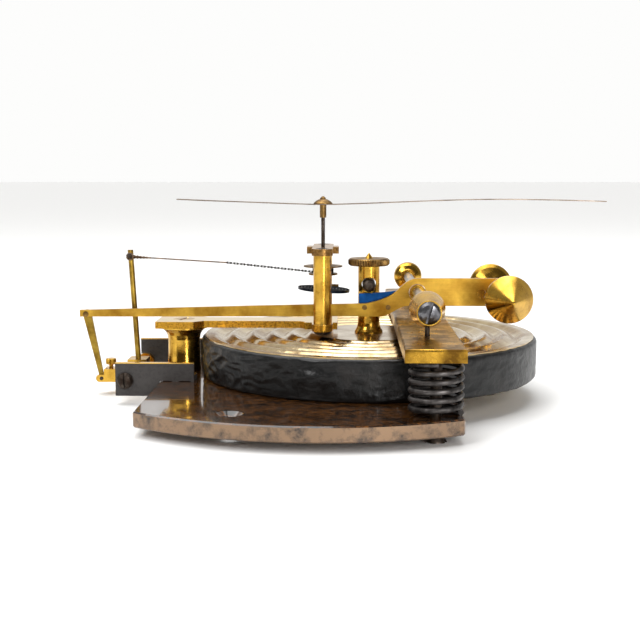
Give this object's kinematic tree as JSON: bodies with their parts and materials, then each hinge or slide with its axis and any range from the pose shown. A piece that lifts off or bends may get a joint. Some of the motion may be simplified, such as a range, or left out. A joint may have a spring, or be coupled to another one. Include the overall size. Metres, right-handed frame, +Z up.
{
  "type": "aneroid barometer movement",
  "caption": "Early aneroid barometer movement: corrugated vacuum chamber, fulcrum bar on coil springs, long counterweighted lever, link and rocker, wire and chain to a pointer arbor.",
  "frame": {"origin": "on the pointer arbor's axis, 0.4 mm above the base plate's upper face", "axes": "+X towards the pointer's long end, +Y to the back, +Z up along the arbor"},
  "size_m": [0.1056, 0.1032, 0.0401],
  "materials": {
    "base_bronze": "dark varnished bronze",
    "tinned_sheet": "tinned white metal",
    "sealing_wax": "black varnished wax",
    "polished_brass": "lacquered, polished",
    "aged_brass": "toned, lacquer worn",
    "black_lacquer": "blackened faces",
    "dark_steel": "oil-darkened",
    "bright_steel": "polished",
    "blued_steel": "heat blued",
    "pointer_steel": "toned",
    "chain_steel": "blackened"
  },
  "bodies": {
    "frame": {"base_plate": "base_bronze", "chamber_stud": "dark_steel", "chamber_ring": "tinned_sheet", "wax_coat": "sealing_wax", "lower_diaphragm": "tinned_sheet", "upper_diaphragm": "tinned_sheet", "chamber_spring": "dark_steel", "fulcrum_spring_front": "dark_steel", "fulcrum_spring_rear": "dark_steel", "pivot_screws": "dark_steel", "bracket_front": "black_lacquer", "bracket_rear": "black_lacquer", "bracket_screws": "dark_steel", "bridge_pillar": "polished_brass", "pillar_screw": "dark_steel", "bridge_screw": "dark_steel", "bridge_plate": "polished_brass", "frame_pillar_front": "polished_brass", "frame_pillar_rear": "polished_brass", "frame_screws": "dark_steel", "top_cock": "aged_brass", "hairspring": "blued_steel", "hairspring_stud": "polished_brass"},
    "hand": {"hand_arbor": "bright_steel", "chain_drum": "aged_brass", "chain_turns": "chain_steel", "hairspring_collet": "polished_brass", "pointer_boss": "aged_brass", "pointer": "pointer_steel"},
    "post": {"centre_post": "polished_brass", "post_pin": "bright_steel", "post_screw": "polished_brass"},
    "nut": {"thumb_nut": "aged_brass"},
    "bar": {"fulcrum_bar": "polished_brass", "fulcrum_pins": "dark_steel"},
    "front_adjuster": {"adjusting_screw_front": "dark_steel"},
    "rear_adjuster": {"adjusting_screw_rear": "dark_steel"},
    "lever": {"lever_axle": "bright_steel", "lever_hub": "polished_brass", "axle_knob_front": "polished_brass", "axle_knob_rear": "polished_brass", "knob_screws": "bright_steel", "lever": "polished_brass", "compensation_strip": "blued_steel", "strip_rivets": "dark_steel", "tail_pin": "polished_brass", "counterweight_rod": "bright_steel", "lever_pin": "dark_steel"},
    "front_weight": {"counterweight_front": "polished_brass"},
    "rear_weight": {"counterweight_rear": "polished_brass"},
    "link": {"link": "polished_brass"},
    "rocker": {"slider_block": "polished_brass", "link_pin": "dark_steel", "rocker_arbor": "polished_brass", "rocker_block": "polished_brass", "rocker_rod": "polished_brass", "rod_pin": "dark_steel"},
    "clamp_screw": {"thumb_screw": "polished_brass"},
    "draw": {"draw_wire": "pointer_steel", "draw_chain": "chain_steel"}
  },
  "joints": [
    {"name": "pointer_turn", "type": "hinge", "parent": "frame", "child": "hand", "pos_m": [0, 0, 0], "axis": [0, 0, 1], "range_deg": [-100, 100], "stiffness_Nm_per_rad": 0.0001, "deforming": ["hairspring"]},
    {"name": "rocker_turn", "type": "hinge", "parent": "frame", "child": "rocker", "pos_m": [-0.0382, 0, -0.00025], "axis": [0, 1, 0], "range_deg": [-8.7, 8.7]},
    {"name": "lever_rock", "type": "hinge", "parent": "bar", "child": "lever", "pos_m": [0.0189, 0, 0.0139], "axis": [0, 1, 0], "range_deg": [-0.9, 0.9]},
    {"name": "link_swing", "type": "hinge", "parent": "lever", "child": "link", "pos_m": [-0.04765, 0, 0.01164], "axis": [0, 1, 0], "range_deg": [-0.2024, 0.2024]},
    {"name": "post_travel", "type": "slide", "parent": "frame", "child": "post", "axis": [0, 0, 1], "range_m": [-0.0001516, 0.0001516], "deforming": ["upper_diaphragm", "chamber_spring"]},
    {"name": "draw_pull", "type": "slide", "parent": "frame", "child": "draw", "axis": [1, 0, 0], "range_m": [-0.00356, 0.00356]},
    {"name": "fulcrum_height", "type": "slide", "parent": "frame", "child": "bar", "axis": [0, 0, 1], "range_m": [-0.00015, 0.00015], "deforming": ["fulcrum_spring_front", "fulcrum_spring_rear"]},
    {"name": "front_adjuster_turn", "type": "hinge", "parent": "frame", "child": "front_adjuster", "pos_m": [0.0198, -0.0425, 0], "axis": [0, 0, 1], "range_deg": [-110.16, 110.16]},
    {"name": "rear_adjuster_turn", "type": "hinge", "parent": "frame", "child": "rear_adjuster", "pos_m": [0.0198, 0.0425, 0], "axis": [0, 0, 1], "range_deg": [-110.16, 110.16]},
    {"name": "thumb_nut_turn", "type": "hinge", "parent": "post", "child": "nut", "pos_m": [0.0093, 0, 0.02125], "axis": [0, 0, 1], "continuous": true},
    {"name": "clamp_screw_turn", "type": "hinge", "parent": "rocker", "child": "clamp_screw", "pos_m": [-0.0434, -0.0014, 0.001], "axis": [0, 0, 1], "continuous": true},
    {"name": "front_weight_turn", "type": "hinge", "parent": "lever", "child": "front_weight", "pos_m": [0.0357, -0.0135, 0.0159], "axis": [0, 1, 0], "continuous": true},
    {"name": "rear_weight_turn", "type": "hinge", "parent": "lever", "child": "rear_weight", "pos_m": [0.0357, 0.0135, 0.0159], "axis": [0, 1, 0], "continuous": true}
  ],
  "couplings": [
    {"joint": "rocker_turn", "follows": "pointer_turn", "ratio": 0.085288},
    {"joint": "lever_rock", "follows": "pointer_turn", "ratio": 0.0088708},
    {"joint": "link_swing", "follows": "pointer_turn", "ratio": -0.0019846},
    {"joint": "post_travel", "follows": "pointer_turn", "m_per_rad": 0.00008516},
    {"joint": "draw_pull", "follows": "pointer_turn", "m_per_rad": 0.002},
    {"joint": "front_adjuster_turn", "follows": "fulcrum_height", "rad_per_m": -12566},
    {"joint": "rear_adjuster_turn", "follows": "fulcrum_height", "rad_per_m": -12566}
  ]
}
